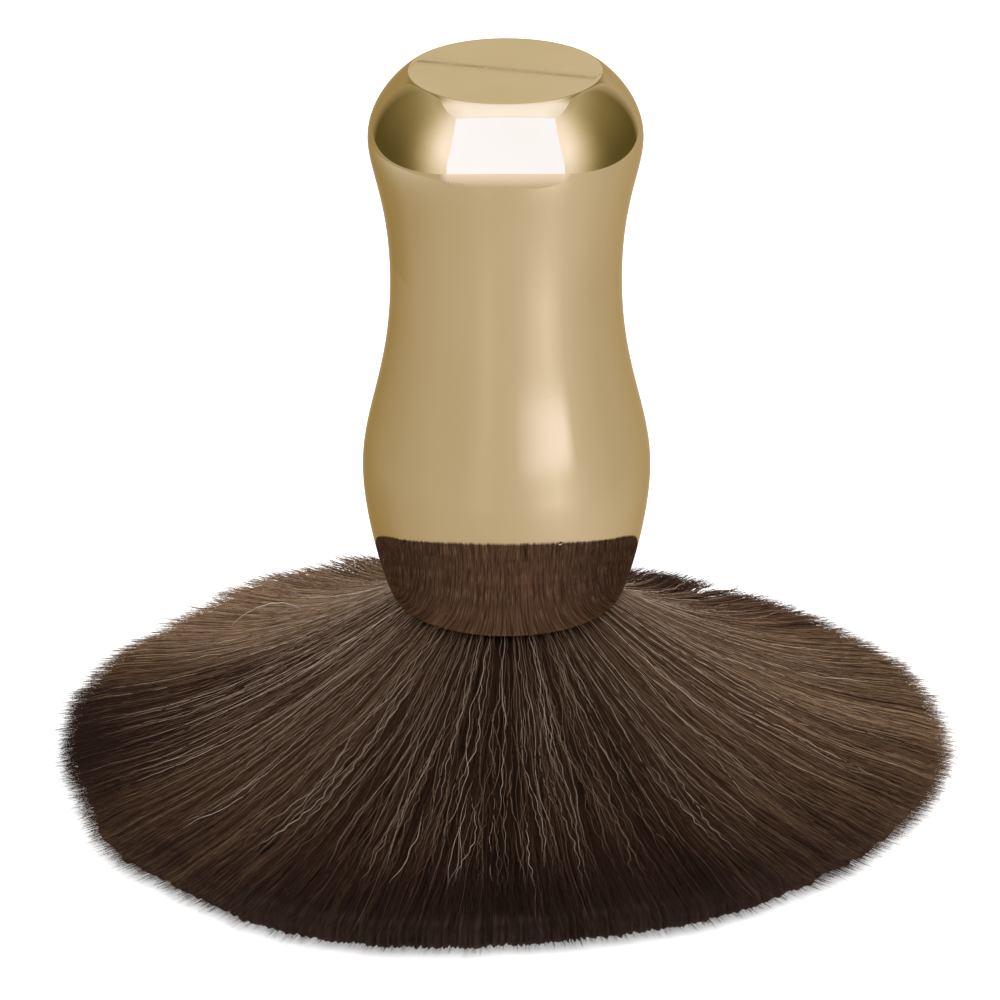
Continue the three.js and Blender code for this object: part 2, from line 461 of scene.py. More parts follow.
def bezier(start, lean_out, lean_in, end, steps=ARC_STEPS):
    """Points along a cubic arc, and the directions there."""
    t = np.linspace(0, 1, steps + 1)[:, None]
    ends = [np.array(p, float) for p in (start, lean_out, lean_in, end)]
    weights = [(1 - t) ** 3, 3 * t * (1 - t) ** 2, 3 * t * t * (1 - t), t**3]
    slopes = [(1 - t) ** 2, 2 * t * (1 - t), t * t]
    at = sum(w * p for w, p in zip(weights, ends))
    along = sum(w * (b - a) for w, a, b in zip(slopes, ends, ends[1:]))
    return at, along / np.linalg.norm(along, axis=1)[:, None]


def upright(end, gap):
    """The control point above or below an upright end, for the arc to bend there as the end says."""
    pull = math.sqrt(2 / 3 * abs(gap) * end["bend"])
    return end["r"], end["z"] + math.copysign(pull, gap)


def handle_outline(inset):
    """Points on the handle's outline from the mouth to the end flat, moved inwards along the normal."""
    mouth_lean = (MOUTH["r"] + MOUTH["pull_out"], MOUTH["z"] + MOUTH["pull_up"])
    end_lean = (END_FLAT["r"] + END_FLAT["pull_out"], TOP)
    swell, taper = BELLY["r"] - mouth_lean[0], BELLY["r"] - WAIST["r"]
    flare, dome = SHOULDER["r"] - WAIST["r"], SHOULDER["r"] - end_lean[0]
    belly, waist, shoulder = [(end["r"], end["z"]) for end in (BELLY, WAIST, SHOULDER)]
    arcs = [
        bezier((MOUTH["r"], MOUTH["z"]), mouth_lean, upright(BELLY, -swell), belly),
        bezier(belly, upright(BELLY, taper), upright(WAIST, -taper), waist),
        bezier(waist, upright(WAIST, flare), upright(SHOULDER, -flare), shoulder),
        bezier(shoulder, upright(SHOULDER, dome), end_lean, (END_FLAT["r"], TOP)),
    ]
    at = np.concatenate([arcs[0][0]] + [arc[0][1:] for arc in arcs[1:]])
    along = np.concatenate([arcs[0][1]] + [arc[1][1:] for arc in arcs[1:]])
    return at + inset * np.column_stack([-along[:, 1], along[:, 0]])


def build_handle():
    """The polished shell: one wall all round, a rounded lip at the mouth and a flat end."""
    outside = handle_outline(0)
    inside = handle_outline(SHELL_WALL)[1:]
    half_wall = SHELL_WALL / 2
    turns = np.radians(np.linspace(-180, 0, 9))
    lip_r = MOUTH["r"] - half_wall + half_wall * np.cos(turns)
    lip = np.column_stack([lip_r, MOUTH["z"] + 0.5 * half_wall * (1 + np.sin(turns))])
    rim_r, rim_z = outside[-1]
    outline = np.vstack([
        [0, TOP - SHELL_WALL],
        inside[::-1],
        lip,
        outside[2:],
        [rim_r * 0.96, rim_z],  # keeps the rounded shading off the flat
        [0, TOP],
    ])
    shell = lathe("gold_handle", outline, HANDLE_SIDES, sharp_angle=50)
    dress(shell, gold_plate(), "gold_shell", "handle_shell")


# --- Pieces inside the handle ---


def dress_hidden_pieces():
    """The hard pieces inside keep their CAD shapes and get materials of their own."""
    plastic = moulded_plastic()
    looks = {
        "counterweight": steel_bar(),
        "core_insert": plastic,
        "locating_ring": plastic,
        "ferrule_sleeve": ferrule_aluminium(),
        "epoxy_plug": epoxy_resin(),
        "root_binding": binding_thread(),
    }
    for name, material in looks.items():
        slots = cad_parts[name].data.materials
        slots.clear()
        slots.append(material)


def build_weight_pad():
    """A foam disc with soft, slightly uneven edges."""
    low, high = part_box("weight_pad")
    radius, rounding = high.x, 0.8 * MM
    turns = np.radians(np.linspace(-90, 90, 9))
    middle, half = (low.z + high.z) / 2, (high.z - low.z) / 2
    edge = np.column_stack([radius - rounding * (1 - np.cos(turns)), middle + half * np.sin(turns)])
    outline = np.vstack([[0, low.z], [radius * 0.5, low.z], edge, [radius * 0.5, high.z], [0, high.z]])

    def uneven(angles, r, z):
        return -0.15 * MM * (1 + wave_noise(angles + 4000 * z, (9, 23, 41), 5)) * (r > radius * 0.9)

    pad = lathe("weight_pad_foam", outline, 144, uneven)
    dress(pad, foam(), "foam_pad", "weight_pad")


# --- Bristles: the dense body ---


def rim_reach(azimuth):
    """How far the tips reach at an azimuth: a circle, a little uneven, fuller at the back left."""
    uneven = 0.45 * wave_noise(azimuth, (5, 8, 13, 37, 61), 11)
    return FAN_R + (uneven + patches(azimuth, REACHES) - 0.1) * MM


def notch_depth(azimuth, half_width=NOTCH["half_width"], shift=0):
    """How far the tips stand back at the notch."""
    return NOTCH["depth"] * bell(azimuth, NOTCH["azimuth"] + shift, half_width)


def fan_height(r, reach):
    """The height of the fan's upper surface at radius r."""
    left = np.clip((reach - r) / (reach - MOUTH_R), 0, None)
    return FAN_EDGE + (FAN_TOP - FAN_EDGE) * left**FAN_SAG


def lock_section(reach):
    """The mat's section in the plane of the axis: arrays r and z of (points, one for each rim radius)."""
    inner = CORE_HIGH.x + 0.3 * MM
    rim = [(-4.0, 0.1), (-1.0, 0.7), (0.0, 1.8), (-0.2, 3.2), (-1.0, 4.3)]  # millimetres out and up
    r = [np.full_like(reach, inner)] + [reach + dr * MM for dr, _ in rim]
    z = [np.full_like(reach, 0.1 * MM)] + [np.full_like(reach, dz * MM) for _, dz in rim]
    for share in np.linspace(0.03, 1, 26):
        out = reach + (MOUTH_R - MAT_DEPTH - reach) * share
        r.append(out)
        z.append(fan_height(out, reach + MAT_INSET) - MAT_DEPTH - 0.4 * MM * (1 - share))
    r.append(np.full_like(reach, CORE_TOP_R + 0.3 * MM))
    z.append(np.full_like(reach, FAN_TOP))
    return np.array(r), np.array(z)


def build_lock_mat(number, material):
    """One lock's dense body: combed ridges above, a ragged rim, closed below and at its sides."""
    columns = 110
    middle = 360 / LOCK_COUNT * (number - 1)
    azimuth = middle + np.linspace(-0.5, 0.5, columns + 1) * (360 / LOCK_COUNT - 0.12)
    ragged = 0.25 * MM * wave_noise(azimuth, (211, 307, 421, 533), 21)
    ragged[1:-1] -= rng.uniform(0, 1.3, columns - 1) * MM
    inset = MAT_INSET - 1.7 * MM * bell(azimuth, **FRONT)
    reach = rim_reach(azimuth) - inset - notch_depth(azimuth, **NOTCH_IN_MAT) + ragged
    r, z = lock_section(reach)
    ridges = wave_noise(azimuth, (173, 251, 367, 463, 571), 22)
    upper = slice(6, -1)  # the section's points on the upper surface
    above = np.zeros(len(r))
    above[upper] = np.sin(np.linspace(0.3, 2.9, len(r[upper])))
    z += 0.12 * MM * ridges[None, :] * above[:, None]
    angles = np.radians(azimuth)
    points = np.stack([r * np.cos(angles), r * np.sin(angles), z], axis=2).transpose(1, 0, 2)
    count = len(r)
    step = np.arange(columns)[:, None] * count
    here = np.arange(count)[None, :]
    onward = (here + 1) % count
    quads = np.stack([step + here, step + count + here, step + count + onward, step + onward], axis=2)
    caps = [(0, i, i + 1) for i in range(1, count - 1)]
    last = columns * count
    caps += [(last, last + i + 1, last + i) for i in range(1, count - 1)]
    mat = mesh_from(f"bristle_mat_{number:02d}", points.reshape(-1, 3), quads.reshape(-1, 4), caps)
    dress(mat, material, "bristle_fibre", f"bristle_lock_{number:02d}")


def build_bundles(material):
    """The fibres under the handle and inside the ferrule, as bundles ribbed down their length."""
    def ribs(angles, r, z):
        return -0.12 * MM * (1 + wave_noise(angles, (97, 131, 173), 31))

    core_low, core_high = CORE_HIGH.x, CORE_TOP_R
    heights = np.linspace(0, FAN_TOP, 12)
    radii = core_low + (core_high - core_low) * (heights / FAN_TOP) ** 0.8
    core = np.column_stack([radii, heights])
    outline = np.vstack([[0, 0], core, [0, FAN_TOP]])
    dress(lathe("bristle_core_bundle", outline, 288, ribs, 60), material, "bristle_fibre", "bristle_core")

    low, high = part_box("bristle_root")
    binding_low, binding_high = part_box("root_binding")
    root_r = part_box("epoxy_plug")[1].x
    neck_r = binding_high.x - 1.1 * MM
    neck_low, neck_high = binding_low.z - 0.3 * MM, binding_high.z + 0.3 * MM
    foot = [(0, low.z), (high.x, low.z), (root_r, low.z + 1.6 * MM), (root_r, neck_low)]
    neck = [(neck_r, neck_low), (neck_r, neck_high), (root_r, neck_high)]
    outline = foot + neck + [(root_r, high.z), (0, high.z)]
    dress(lathe("bristle_root_bundle", outline, 288, ribs), material, "bristle_fibre", "bristle_root")


# --- Bristles: single fibres ---


def sway_of(azimuth, along):
    """How far round from its start a fibre has drifted, in degrees, at each step along it."""
    slow, quick = wave_noise(azimuth, (3, 4, 7), 41), wave_noise(azimuth, (11, 17), 42)
    return 1.5 * slow * along + 0.9 * quick * along**2


def landing_of(azimuth):
    """The azimuth at which a fibre that starts at this one ends."""
    return azimuth + sway_of(azimuth, 1)


def splay(azimuth, depth, reach, along, wander, wander_waves):
    """Points of fibres from the mouth to their tips, as an array (fibres, steps, 3).

    depth is 0 for fibres on top of the fan and 1 for those that lie on the ground. Each fibre snakes
    by wander, with the number of waves and the phase that wander_waves gives."""
    azimuth, depth, reach = azimuth[:, None], depth[:, None], reach[:, None]
    left = 1 - along
    start_r = MOUTH_R * (1 - 0.3 * depth)
    r = start_r + (reach - start_r) * along
    tip_z = FAN_EDGE + (0.5 * MM - FAN_EDGE) * depth
    lift = BACK_TUFT["lift"] * bell(azimuth, BACK_TUFT["azimuth"], BACK_TUFT["spread"])
    lift = lift + 0.35 * MM * wave_noise(azimuth, (17, 26, 38), 44) * bell(azimuth, 125, 30)
    tip_z = tip_z + lift * (1 - depth)
    z = tip_z + (FAN_TOP - tip_z) * left**FAN_SAG
    z -= TIP_DROOP * smooth(0.86, 1, along) * (1 - depth) ** 2
    sway = sway_of(azimuth, along)
    clumps = 250
    nearest = np.round(azimuth * clumps / 360 + 0.4 * wave_noise(azimuth, (19, 29), 43)) * 360 / clumps
    pull = np.clip(nearest - azimuth, -1, 1) * 0.3 * smooth(0.1, 0.9, along)
    landing = landing_of(azimuth)
    side = np.sign(((landing - NOTCH["azimuth"] + 180) % 360) - 180)
    part = side * NOTCH["half_width"] * bell(landing, NOTCH["azimuth"], NOTCH["spread"])
    part = part * smooth(0.72, 0.95, along)
    fraction = wander * np.sin(2 * math.pi * (along * wander_waves[:, :1] + wander_waves[:, 1:2]))
    turned = np.radians(azimuth + sway + pull + part) + fraction / r
    return np.stack([r * np.cos(turned), r * np.sin(turned), z], axis=2)


def fibre_mesh(name, paths, radius, tone, map_start=0.0):
    """Closed three-sided tubes along paths (fibres, steps, 3), ending in a point.

    The map's U runs along a fibre from map_start to 1, and tone sets its V."""
    count, steps, _ = paths.shape
    tangent = np.gradient(paths, axis=1)
    tangent /= np.linalg.norm(tangent, axis=2, keepdims=True)
    across = np.cross(tangent, [0, 0, 1.0])
    across /= np.linalg.norm(across, axis=2, keepdims=True)
    up = np.cross(across, tangent)
    turns = np.radians([90, 210, 330])
    ring = across[:, :, None] * np.cos(turns)[:, None] + up[:, :, None] * np.sin(turns)[:, None]
    points = paths[:, :, None] + ring * radius[:, :, None, None]
    end = paths[:, -1] + tangent[:, -1] * 4 * radius[:, -1:]
    points = np.concatenate([points.reshape(count, steps * 3, 3), end[:, None]], axis=1)
    each = steps * 3 + 1
    base = np.arange(count)[:, None, None] * each
    ring_start = np.arange(steps - 1)[None, :, None] * 3
    side = np.arange(3)[None, None, :]
    a, b = base + ring_start + side, base + ring_start + (side + 1) % 3
    quads = np.stack([a, b, b + 3, a + 3], axis=3).reshape(-1, 4)
    first = base[:, 0, 0]
    last, tip = first + (steps - 1) * 3, first + steps * 3
    triangles = [np.column_stack([first, first + 2, first + 1])]
    triangles += [np.column_stack([last + k, last + (k + 1) % 3, tip]) for k in range(3)]
    u = np.concatenate([np.repeat(np.linspace(map_start, 1, steps), 3), [1.0]])
    uv = np.stack(np.broadcast_arrays(u, np.repeat(tone[:, None], each, axis=1)), axis=2)
    return mesh_from(name, points.reshape(-1, 3), quads, np.concatenate(triangles), uv.reshape(-1, 2))


def tones_with_painted_light(azimuth):
    """How pale each fibre is, from 0 to 1: in streaks, dark in front from painted shade and palest at the
    back from painted light.
    """
    streaks = 0.06 * wave_noise(azimuth, (5, 9, 14, 26, 47, 83, 131), 51)
    tone = 0.36 + streaks + patches(azimuth, TONE_AND_LIGHT_PATCHES) + rng.normal(0, 0.15, len(azimuth))
    return np.clip(tone, 0.01, 0.99)


BASE_FIBRES = 9600
TIP_FIBRES = 18000
PALE_FIBRES = 980


def spaced(sector, sectors, count):
    """Azimuths of a sector's fibres, evenly spaced but for a random nudge each."""
    return (sector + (np.arange(count) + rng.uniform(0, 1, count)) / count) * 360 / sectors


def build_fibres(material):
    """The combed coat of brown fibres, in sectors."""
    sectors, steps = 8, 16
    for sector in range(sectors):
        count = BASE_FIBRES // sectors
        azimuth = spaced(sector, sectors, count)
        on_top = rng.uniform(0, 1, count) < 0.75
        depth = np.where(on_top, rng.uniform(0, 0.12, count), rng.uniform(0, 1, count))
        stray = np.where(rng.uniform(0, 1, count) < 0.03, rng.uniform(0.3, 1.6, count), 0)
        landing = landing_of(azimuth)
        reach = rim_reach(landing) + (rng.normal(-1.0, 1.0, count) + stray) * MM
        reach -= depth * notch_depth(landing, **NOTCH_BELOW)
        along = np.broadcast_to(np.linspace(0, 1, steps) ** 0.9, (count, steps))
        wander = rng.uniform(0.05, 0.45, count)[:, None] * MM * smooth(0, 0.3, along)
        waves = np.column_stack([rng.uniform(1.5, 5.5, count), rng.uniform(0, 1, count)])
        paths = splay(azimuth, depth, reach, along, wander, waves)
        radius = 0.06 * MM * rng.uniform(0.7, 1.2, count)[:, None] * (1 - 0.75 * smooth(0.86, 1, along))
        coat = fibre_mesh(f"bristle_fibres_{sector + 1:02d}", paths, radius, tones_with_painted_light(azimuth))
        dress(coat, material, "bristle_fibre")


def build_tips(material):
    """Short fibres that thicken the rim, at every height of it."""
    sectors, start, steps = 4, 0.8, 6
    for sector in range(sectors):
        count = TIP_FIBRES // sectors
        azimuth = spaced(sector, sectors, count)
        depth = rng.uniform(0, 1, count) ** 0.8
        stray = np.where(rng.uniform(0, 1, count) < 0.16, rng.uniform(0, 1, count), 0)
        landing = landing_of(azimuth)
        reach = rim_reach(landing) + (rng.normal(-1.3, 0.8, count) + 2.4 * stray) * MM
        reach += 0.5 * MM * bell(landing, **FRONT) - 0.7 * MM * np.abs(depth - 0.45)
        reach -= notch_depth(landing) + depth * notch_depth(landing, **NOTCH_BELOW)
        along = np.broadcast_to(np.linspace(start, 1, steps), (count, steps))
        wander = rng.uniform(0.0, 0.35, count)[:, None] * MM * np.ones((1, steps))
        waves = np.column_stack([rng.uniform(1.5, 4, count), rng.uniform(0, 1, count)])
        paths = splay(azimuth, depth, reach, along, wander, waves)
        thickness = 0.06 * MM * rng.uniform(0.7, 1.2, count) * (1 - 0.45 * stray)
        radius = thickness[:, None] * (1 - 0.8 * smooth(0.86, 1, along))
        rim = fibre_mesh(f"bristle_tips_{sector + 1:02d}", paths, radius, tones_with_painted_light(azimuth), start)
        dress(rim, material, "bristle_fibre")


def crimp(turns, waves, amplitude):
    """An uneven ripple along fibres: three sines whose counts don't match."""
    total = 0
    for share, ratio in ((1.0, 1.0), (0.4, 1.73), (0.6, 0.37)):
        phase = rng.uniform(0, 2 * math.pi, len(waves))[:, None]
        total = total + share * np.sin(turns * (waves * ratio)[:, None] * 2 * math.pi + phase)
    return amplitude[:, None] * total / 1.3


def build_pale_fibres(material):
    """Pale crimped fibres that lie singly on top of the coat."""
    sectors, steps = 4, 60
    for sector in range(sectors):
        count = PALE_FIBRES // sectors
        azimuth = spaced(sector, sectors, count)
        full = rim_reach(landing_of(azimuth))
        begin = np.where(rng.uniform(0, 1, count) < 0.5, 0, rng.uniform(0, 0.55, count))
        furthest = 0.97 - 0.13 * bell(azimuth, **FRONT)
        finish = np.minimum(begin + rng.uniform(0.25, 0.9, count), furthest - rng.uniform(0, 0.1, count))
        along = begin[:, None] + (finish - begin)[:, None] * np.linspace(0, 1, steps)
        sway = rng.uniform(0.2, 1.1, count)[:, None] * MM * smooth(0, 0.3, along)
        waves = np.column_stack([rng.uniform(1, 3, count), rng.uniform(0, 1, count)])
        paths = splay(azimuth, np.zeros(count), full, along, sway, waves)
        crimps = (full - MOUTH_R) / (rng.uniform(2.8, 8.0, count) * MM)
        sideways = crimp(along, crimps, rng.uniform(0.06, 0.3, count) * MM)
        outward = paths[:, -1] - paths[:, 0]
        across = np.cross([0, 0, 1.0], outward / np.linalg.norm(outward, axis=1)[:, None])
        paths = paths + across[:, None] * sideways[:, :, None]
        buried = smooth(0.08, 0.0, along - begin[:, None]) * (begin[:, None] > 0)
        buried = buried + smooth(0.08, 0.0, finish[:, None] - along)
        paths[:, :, 2] += 0.1 * MM + crimp(along, crimps, rng.uniform(0.03, 0.12, count) * MM)
        paths[:, :, 2] -= 0.4 * MM * buried
        radius = 0.036 * MM * rng.uniform(0.7, 1.25, count)[:, None] * (1 - 0.5 * buried.clip(0, 1))
        tone = rng.uniform(0.02, 0.98, count) ** 2
        pale = fibre_mesh(f"pale_fibres_{sector + 1:02d}", paths, radius, tone)
        dress(pale, material, "bristle_fibre")


def build_loose_fibre(material):
    """One pale fibre at the back left that has sprung out of the coat in a loop."""
    steps = 59
    corners = np.array([(-48, 37, 8.6), (-45, 41, 10.6), (-38, 36, 15.6), (-34, 23, 16.2)]) * MM
    path, _ = bezier(*corners, steps)
    along = np.linspace(0, 1, steps + 1)
    path[:, 1] += 0.15 * MM * np.sin(along * 40) * np.sin(along * math.pi)
    radius = 0.07 * MM * (1 - 0.5 * np.abs(2 * along - 1) ** 3)
    loose = fibre_mesh("loose_fibre", path[None], radius[None], np.array([0.95]))
    dress(loose, material, "bristle_fibre")


# --- Studio ---

# What the polished handle mirrors: a bowl of warm white all round, a window in front with its light in
# the ceiling above it, a dark wall on each side, soft skirts of light under the window and the left
# wall, a brown skin over the fan and a thin bar behind. Azimuths here are in degrees from the camera's
# side, positive towards +X.
CARD_R = 130 * MM  # the window and the walls
CARD_TOP = 288 * MM
WINDOW_EDGE = 45  # azimuth of the window's side edges, up to SPLAY_FROM
SPLAY_FROM = 150 * MM
WALL_END = 140  # azimuth where the walls end
SKIRT_R = 60 * MM
SKIRT_EDGE = 46
SIDE_SKIRT = dict(azimuth=-80, half_width=52)
FRINGE_R = 81 * MM
BOWL_R = 500 * MM
CEILING_HALF = 130 * MM
LIGHT_EDGE = dict(y=-71 * MM, bow=19 * MM)  # how far back the window's light reaches along the ceiling
RAMP_GAIN = 2.0  # a ramp's colours stop at 1, so those on the cards hold their brightness divided by this

# How bright the bowl is at azimuths all round: on the floor next to the brush, and far from it.
NEAR_LEVELS = [
    (-180, 0.46), (-150, 0.41), (-108, 0.44), (-88, 0.54), (-53, 0.625), (-21, 0.68), (14, 0.73),
    (35, 0.765), (50, 0.80), (67, 0.78), (91, 0.71), (115, 0.66), (145, 0.58), (180, 0.46),
]
FAR_LEVELS = [
    (-180, 0.51), (-145, 0.44), (-103, 0.53), (-82, 0.59), (-65, 0.63), (-35, 0.66), (-19, 0.75),
    (-6, 0.72), (8, 0.74), (17, 0.81), (27, 0.95), (39, 1.06), (48, 0.95), (56, 0.83), (66, 0.75),
    (92, 0.64), (120, 0.62), (148, 0.62), (180, 0.51),
]


def glow(name, colour):
    """A plain emitter for a card. It isn't sampled as a light."""
    material = bpy.data.materials.new(name)
    material.use_nodes = True
    tree = material.node_tree
    tree.nodes.clear()
    light = node(tree, "Emission", {"Color": colour}, name="light")
    node(tree, "OutputMaterial", {"Surface": light.outputs["Emission"]})
    material.cycles.emission_sampling = "NONE"
    return material


def shaded_glow(name, shade):
    """An emitter whose colour, divided by RAMP_GAIN, is what shade(tree, x, y, z) gives."""
    material = glow(name, (1, 1, 1, 1))
    tree = material.node_tree
    light = tree.nodes["light"]
    light.inputs["Strength"].default_value = RAMP_GAIN
    feed(light, shade(tree, *spot(tree)), "Color")
    return material


def card(name, surface, rows, columns, material):
    """A reflection card: mirrors see it, and it neither lights nor shades the scene.

    surface(across, up) gives its points for across from -1 to 1 and up from 0 to 1."""
    up, across = np.meshgrid(np.linspace(0, 1, rows + 1), np.linspace(-1, 1, columns + 1), indexing="ij")
    points = np.stack(surface(across, up), axis=2).reshape(-1, 3)
    here = (np.arange(rows)[:, None] * (columns + 1) + np.arange(columns)).ravel()
    quads = np.column_stack([here, here + 1, here + columns + 2, here + columns + 1])
    made = mesh_from(name, points, quads, [])
    made.data.materials.append(material)
    made.visible_camera = False
    made.visible_diffuse = False
    made.visible_shadow = False


def round_point(azimuth, radius, height):
    turned = np.radians(azimuth)
    return radius * np.sin(turned), -radius * np.cos(turned), height + 0 * azimuth


def bearing(tree, x, y):
    """The azimuth from the camera's side in degrees."""
    return times(tree, calc(tree, "ARCTAN2", x, times(tree, y, -1.0)), 180 / math.pi)


def size_of(tree, value):
    return calc(tree, "ABSOLUTE", value)


def hump(tree, value, centre, width):
    """1 at the centre, falling smoothly to nothing over about twice the width."""
    away = calc(tree, "DIVIDE", calc(tree, "SUBTRACT", value, centre), width)
    return calc(tree, "EXPONENT", times(tree, away, away, -1.0))


def warm(level):
    """The bowl's colour at a level: yellower where it is darker."""
    return 0.93 * level + 0.115, level, 1.25 * level - 0.28


def bowl_level(tree, x, y, levels):
    """The bowl's colour at the azimuth of a place, from a table of levels."""
    stops = [((at + 180) / 360, tuple(c / RAMP_GAIN for c in warm(level)) + (1,)) for at, level in levels]
    return ramp(tree, rise(tree, bearing(tree, x, y), -180.0, 180.0), *stops)


def bowl_shade(tree, x, y, z):
    """Warm white with a soft leaf of light at the front right.

    At the back there is a pale patch under a dark top."""
    away = rise(tree, distance_out(tree, x, y), 80 * MM, 220 * MM)
    shade = mix(tree, away, bowl_level(tree, x, y, NEAR_LEVELS), bowl_level(tree, x, y, FAR_LEVELS))
    azimuth = bearing(tree, x, y)
    across = times(tree, rise(tree, azimuth, 6.0, 42.0), rise(tree, azimuth, 57.0, 49.0))
    leaf = times(tree, across, hump(tree, z, 100 * MM, 52 * MM))
    shade = mix(tree, leaf, shade, (0.70, 0.685, 0.80, 1))
    behind = rise(tree, y, 150 * MM, 300 * MM)
    top = times(tree, behind, rise(tree, z, 260 * MM, 360 * MM))
    shade = mix(tree, top, shade, (0.19, 0.165, 0.085, 1))
    middle = times(tree, behind, rise(tree, size_of(tree, x), 110 * MM, 60 * MM))
    middle = times(tree, middle, rise(tree, z, 150 * MM, 250 * MM))
    return mix(tree, middle, shade, (0.45, 0.444, 0.44, 1))


def window_edge(z):
    """The azimuth of the window's side edge at a height: upright, then leaning outwards."""
    return WINDOW_EDGE + 20 * np.clip((z - SPLAY_FROM) / (CARD_TOP - SPLAY_FROM), 0, 1) ** 1.6


def window_surface(across, up):
    bottom = (111 - 18 * across**2) * MM
    z = bottom + (CARD_TOP - bottom) * up
    return round_point(across * window_edge(z), CARD_R, z)


def wall_surface(side):
    def surface(across, up):
        share = (across + 1) / 2
        low = (77 + 16 * across**2) * MM
        high = CARD_TOP - 40 * MM * smooth(0.6, 1, share)
        z = low + (high - low) * up
        edge = window_edge(z)
        return round_point(side * (edge + (WALL_END - edge) * share), CARD_R, z)
    return surface


def wall_shade(tree, x, y, z):
    """Dark and warm, brighter by the window and towards the ceiling, and lost in the bowl at the back."""
    azimuth = size_of(tree, bearing(tree, x, y))
    edge = spread(tree, z, WINDOW_EDGE, 61.0, SPLAY_FROM, CARD_TOP)
    near = times(tree, hump(tree, azimuth, edge, 24.0), spread(tree, z, 1.0, 0.55, 160 * MM, 260 * MM))
    near = times(tree, near, spread(tree, z, 0.8, 1.0, 95 * MM, 150 * MM), 0.88)
    lifted = times(tree, calc(tree, "POWER", rise(tree, z, 100 * MM, 255 * MM), 1.5), 0.32)
    lit = calc(tree, "ADD", near, lifted)
    shade = ramp(tree, lit, (0.0, (0.07, 0.058, 0.02, 1)), (0.15, (0.17, 0.145, 0.07, 1)),
                 (0.34, (0.325, 0.3, 0.21, 1)), (0.55, (0.485, 0.46, 0.41, 1)),
                 (0.9, (0.745, 0.75, 0.87, 1)))
    behind = rise(tree, azimuth, WALL_END - 13, WALL_END - 1)
    return mix(tree, behind, shade, bowl_level(tree, x, y, FAR_LEVELS))


def skirt_surface(across, up):
    """The soft lower fringe of the window's light, close round the handle, with two shallow bays below."""
    top = (113 - 8 * across**2) * MM
    bottom = (97 - 6 * np.sin(np.abs(across) * math.pi)) * MM
    return round_point(across * SKIRT_EDGE, SKIRT_R, bottom + (top - bottom) * up)


def skirt_shade(tree, x, y, z):
    """Fades out downwards and at both ends."""
    azimuth = bearing(tree, x, y)
    bow = times(tree, azimuth, azimuth, 8 * MM / SKIRT_EDGE**2)
    up = rise(tree, calc(tree, "ADD", z, bow), 94 * MM, 113 * MM)
    strength = times(tree, up, rise(tree, size_of(tree, azimuth), SKIRT_EDGE, SKIRT_EDGE - 6))
    return mix(tree, strength, bowl_level(tree, x, y, NEAR_LEVELS), (0.67, 0.645, 0.74, 1))


def side_skirt_surface(across, up):
    """A paler hem under the left wall."""
    azimuth = SIDE_SKIRT["azimuth"] + SIDE_SKIRT["half_width"] * across
    return round_point(azimuth, SKIRT_R, (70 + 27 * up) * MM)


def side_skirt_shade(tree, x, y, z):
    """Fades out downwards and to both sides."""
    up = calc(tree, "POWER", rise(tree, z, 71 * MM, 97 * MM), 1.5)
    strength = times(tree, up, hump(tree, bearing(tree, x, y), SIDE_SKIRT["azimuth"], 34.0))
    return mix(tree, strength, bowl_level(tree, x, y, NEAR_LEVELS), (0.41, 0.40, 0.37, 1))


def fringe_top(azimuth):
    """The height of the skin's upper edge."""
    front = np.cos(np.radians(azimuth)).clip(0, 1) ** 1.3
    side = 0.4 * smooth(60, 100, np.abs(azimuth))
    return (4.2 + 6.9 * front + side) * MM


def fringe_surface(across, up):
    """A skin just over the fan, turned up past the rim, so that its mirror image reaches up the handle."""
    azimuth = across * 180
    start, turned_up = MOUTH["r"] + 0.6 * MM, 8 * MM
    r = start + (FRINGE_R - start) * up
    from_plus_x = azimuth - 90
    tuft = BACK_TUFT["lift"] * bell(from_plus_x, BACK_TUFT["azimuth"], BACK_TUFT["spread"] * 1.6)
    over = fan_height(r, FAN_R) + 1.3 * MM + tuft * up
    share = np.clip((r - FRINGE_R + turned_up) / turned_up, 0, 1)
    return round_point(azimuth, r, over + (fringe_top(azimuth) - over) * share)


def fringe_shade(tree, x, y, z):
    """Brown streaks and finer strands, paler in front, with ragged tips against the bowl's floor."""
    azimuth, out = bearing(tree, x, y), distance_out(tree, x, y)
    lay = node(tree, "CombineXYZ", {"X": azimuth, "Y": times(tree, out, 40.0)})
    streaks = noise(tree, lay.outputs["Vector"], 0.8, 4, 0.75)
    dark = ramp(tree, streaks, (0.36, (0.009, 0.005, 0.004, 1)), (0.66, (0.05, 0.031, 0.03, 1)))
    pale = ramp(tree, streaks, (0.36, (0.013, 0.0075, 0.006, 1)), (0.66, (0.088, 0.056, 0.051, 1)))
    facing = calc(tree, "COSINE", times(tree, azimuth, math.pi / 180))
    brown = mix(tree, rise(tree, facing, 0.2, 0.95), dark, pale)
    strands = noise(tree, lay.outputs["Vector"], 2.2, 2)
    brown = mix(tree, spread(tree, strands, 0.0, 0.5, 0.58, 0.7), brown, (0.22, 0.165, 0.145, 1))
    ragged = calc(tree, "ADD", out, times(tree, streaks, 5 * MM))
    clear = rise(tree, ragged, FRINGE_R + 0.3 * MM, FRINGE_R + 1.7 * MM)
    return mix(tree, clear, brown, bowl_level(tree, x, y, NEAR_LEVELS))


def light_edge(across):
    return LIGHT_EDGE["y"] + LIGHT_EDGE["bow"] * across**2


def window_top_surface(across, up):
    """The window's light along the ceiling, from the top of the window to light_edge."""
    x, front, z = round_point(across * window_edge(CARD_TOP), CARD_R, CARD_TOP)
    back = light_edge(across)
    return x * (1 - up) + across * 118 * MM * up, front * (1 - up) + back * up, z


def ceiling_surface(across, up):
    front = light_edge(across)
    return across * CEILING_HALF, front + (125 * MM - front) * up, CARD_TOP + 0 * up


